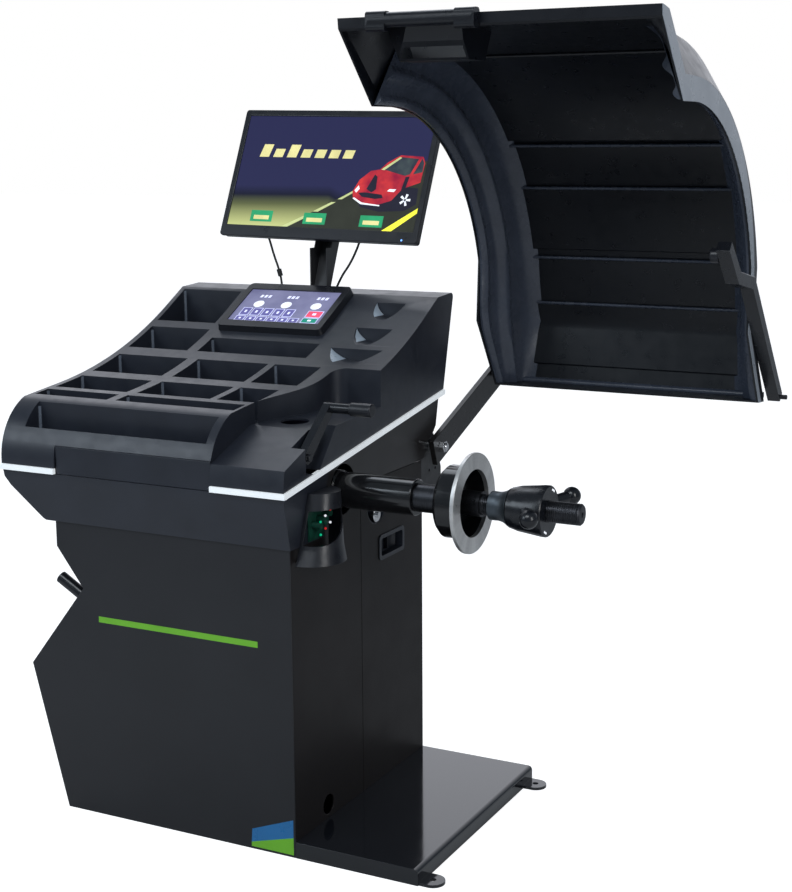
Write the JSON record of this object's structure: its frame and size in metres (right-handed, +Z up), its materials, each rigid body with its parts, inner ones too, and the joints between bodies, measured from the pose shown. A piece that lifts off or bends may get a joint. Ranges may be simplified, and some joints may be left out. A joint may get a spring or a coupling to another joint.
{
  "type": "wheel balancer",
  "caption": "Floor-standing wheel balancer: sheet-metal cabinet, moulded weight tray, tilted monitor, driven spindle with quick nut, distance gauge and swinging wheel hood",
  "frame": {"origin": "on the floor under the middle of the whole machine, its two thin monitor cords left out", "axes": "+Z up, +Y from the front to the back, +X to the right along the spindle toward the wheel"},
  "size_m": [1.34, 0.9564, 1.556],
  "materials": {
    "cabinet_paint": "satin black paint",
    "frame_paint": "matt black paint",
    "platform_paint": "gloss black paint",
    "black_plastic": "semi-gloss",
    "moulded_plastic": "fine texture",
    "white_trim": "gloss",
    "satin_plastic": "satin",
    "key_glass": "printed, gloss",
    "screen_glass": "lit display",
    "bright_steel": "polished",
    "brushed_steel": "brushed",
    "housing_paint": "gloss black",
    "aluminium": "satin",
    "circuit_board": "printed board",
    "motor_paint": "satin",
    "rubber": "matt",
    "arm_paint": "satin dark",
    "hood_plastic": "satin, fine texture",
    "nut_grey": "satin"
  },
  "bodies": {
    "cabinet": {"front_panel": "cabinet_paint", "back_panel": "cabinet_paint", "left_panel": "cabinet_paint", "right_front_panel": "cabinet_paint", "right_rear_panel": "cabinet_paint", "upper_side_panel": "cabinet_paint", "upper_rear_panel": "cabinet_paint", "cabinet_floor": "frame_paint", "platform": "platform_paint", "cone_pegs": "black_plastic", "weight_pocket": "moulded_plastic", "calibration_weight": "bright_steel", "switch_recess": "moulded_plastic", "mains_inlet": "satin_plastic", "cover_skirt": "moulded_plastic", "trim_strip": "white_trim", "nose_panel": "moulded_plastic", "weight_tray": "moulded_plastic", "key_bezel": "satin_plastic", "key_screen": "key_glass", "gauge_rail": "bright_steel", "lamp_case": "satin_plastic", "lamp_board": "circuit_board", "spindle_housing": "housing_paint", "spindle_bearings": "brushed_steel", "support_frame": "frame_paint", "housing_saddles": "frame_paint", "imbalance_sensors": "brushed_steel", "encoder_reader": "circuit_board", "motor": "motor_paint", "control_board": "circuit_board", "drive_belt": "rubber", "hinge_bracket": "frame_paint", "hinge_pin": "bright_steel", "hinge_hardware": "bright_steel", "monitor_rear": "satin_plastic", "monitor_bezel": "satin_plastic", "monitor_panel": "screen_glass", "monitor_post": "frame_paint", "cord_left": "rubber", "cord_right": "rubber", "cord_fittings": "rubber"},
    "spindle": {"spindle_shaft": "brushed_steel", "flange_hub": "housing_paint", "flange_ring": "brushed_steel", "spindle_pulley": "aluminium", "encoder_disc": "bright_steel"},
    "motor_rotor": {"motor_pulley": "brushed_steel"},
    "nut_slider": {"nut_carriage": "nut_grey"},
    "nut": {"nut_body": "black_plastic"},
    "gauge_slider": {"gauge_carriage": "aluminium"},
    "gauge": {"gauge_rod": "bright_steel", "gauge_arm": "arm_paint", "gauge_handle": "satin_plastic"},
    "hood": {"hood_shell": "hood_plastic", "hood_grip": "hood_plastic", "hood_arm": "arm_paint", "sensor_bar": "arm_paint", "sonar_head": "satin_plastic"},
    "rocker": {"power_rocker": "satin_plastic"}
  },
  "joints": [
    {"name": "spindle_spin", "type": "hinge", "parent": "cabinet", "child": "spindle", "pos_m": [-0.02, -0.24524, 0.677], "axis": [1, 0, 0], "continuous": true},
    {"name": "motor_spin", "type": "hinge", "parent": "cabinet", "child": "motor_rotor", "pos_m": [-0.02, -0.24524, 0.4], "axis": [1, 0, 0], "continuous": true},
    {"name": "nut_slide", "type": "slide", "parent": "spindle", "child": "nut_slider", "axis": [1, 0, 0], "range_m": [-0.017, 0.15]},
    {"name": "nut_turn", "type": "hinge", "parent": "nut_slider", "child": "nut", "pos_m": [-0.02, -0.24524, 0.677], "axis": [1, 0, 0], "continuous": true},
    {"name": "gauge_pull", "type": "slide", "parent": "cabinet", "child": "gauge_slider", "axis": [1, 0, 0], "range_m": [0, 0.21]},
    {"name": "gauge_swing", "type": "hinge", "parent": "gauge_slider", "child": "gauge", "pos_m": [-0.02, -0.37324, 0.762], "axis": [1, 0, 0], "range_deg": [0, 60]},
    {"name": "hood_swing", "type": "hinge", "parent": "cabinet", "child": "hood", "pos_m": [-0.02, 0.14076, 0.696], "axis": [1, 0, 0], "range_deg": [0, 62]},
    {"name": "power_press", "type": "hinge", "parent": "cabinet", "child": "rocker", "pos_m": [-0.038, -0.02524, 0.525], "axis": [0, 0, 1], "range_deg": [0, 13]}
  ],
  "couplings": [
    {"joint": "motor_spin", "follows": "spindle_spin", "ratio": 3}
  ]
}
